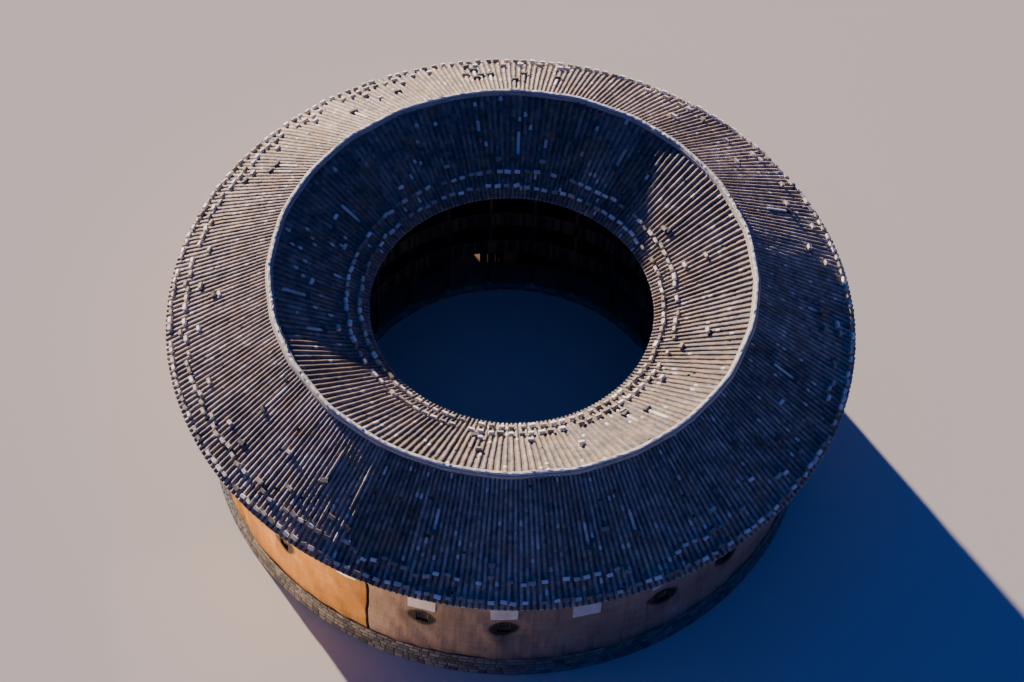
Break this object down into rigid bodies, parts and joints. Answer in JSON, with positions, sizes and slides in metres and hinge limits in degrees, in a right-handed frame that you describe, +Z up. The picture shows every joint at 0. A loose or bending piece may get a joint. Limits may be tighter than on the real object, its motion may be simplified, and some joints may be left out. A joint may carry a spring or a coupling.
{
  "type": "tulou roundhouse",
  "caption": "Round earth clan house: thick rammed-earth ring on a stone plinth, ring-shaped tiled gable roof, timber galleries and rooms round an open court.",
  "frame": {"origin": "middle of the court at ground level", "axes": "+Z up, +Y towards the gateway, +X towards the middle of the east bay"},
  "size_m": [37.0006, 37.0006, 13.47],
  "materials": {
    "rammed_earth": "matte",
    "plinth_stone": "matte",
    "platform_stone": "matte",
    "roof_tile": "matte",
    "ridge_mortar": "matte",
    "old_timber": "matte"
  },
  "bodies": {
    "root": {"plinth_east": "plinth_stone", "plinth_west": "plinth_stone", "plinth_south_west": "plinth_stone", "plinth_south_east": "plinth_stone", "gate_frame": "plinth_stone", "wall_gate_west": "rammed_earth", "wall_west": "rammed_earth", "wall_south_west": "rammed_earth", "wall_south_by_west_left": "rammed_earth", "wall_south_by_west_right": "rammed_earth", "wall_south": "rammed_earth", "wall_south_by_east": "rammed_earth", "wall_south_east": "rammed_earth", "wall_east_by_south_left": "rammed_earth", "wall_east_by_south_right": "rammed_earth", "wall_east": "rammed_earth", "wall_gate_east": "rammed_earth", "wall_over_gate": "rammed_earth", "ground_platform": "platform_stone", "second_floor_north": "old_timber", "second_floor_south": "old_timber", "third_floor_north": "old_timber", "third_floor_south": "old_timber", "ground_gallery_north": "old_timber", "ground_gallery_south": "old_timber", "ground_room_wall_north": "old_timber", "ground_room_wall_south": "old_timber", "second_gallery_north": "old_timber", "second_gallery_south": "old_timber", "second_room_wall_north": "old_timber", "second_room_wall_south": "old_timber", "third_gallery_north": "old_timber", "third_gallery_south": "old_timber", "third_room_wall_north": "old_timber", "third_room_wall_south": "old_timber", "outer_roof_north": "roof_tile", "outer_roof_west": "roof_tile", "outer_roof_south": "roof_tile", "outer_roof_east": "roof_tile", "inner_roof_north": "roof_tile", "inner_roof_west": "roof_tile", "inner_roof_south": "roof_tile", "inner_roof_east": "roof_tile", "ridge_cap": "ridge_mortar"}
  },
  "joints": []
}
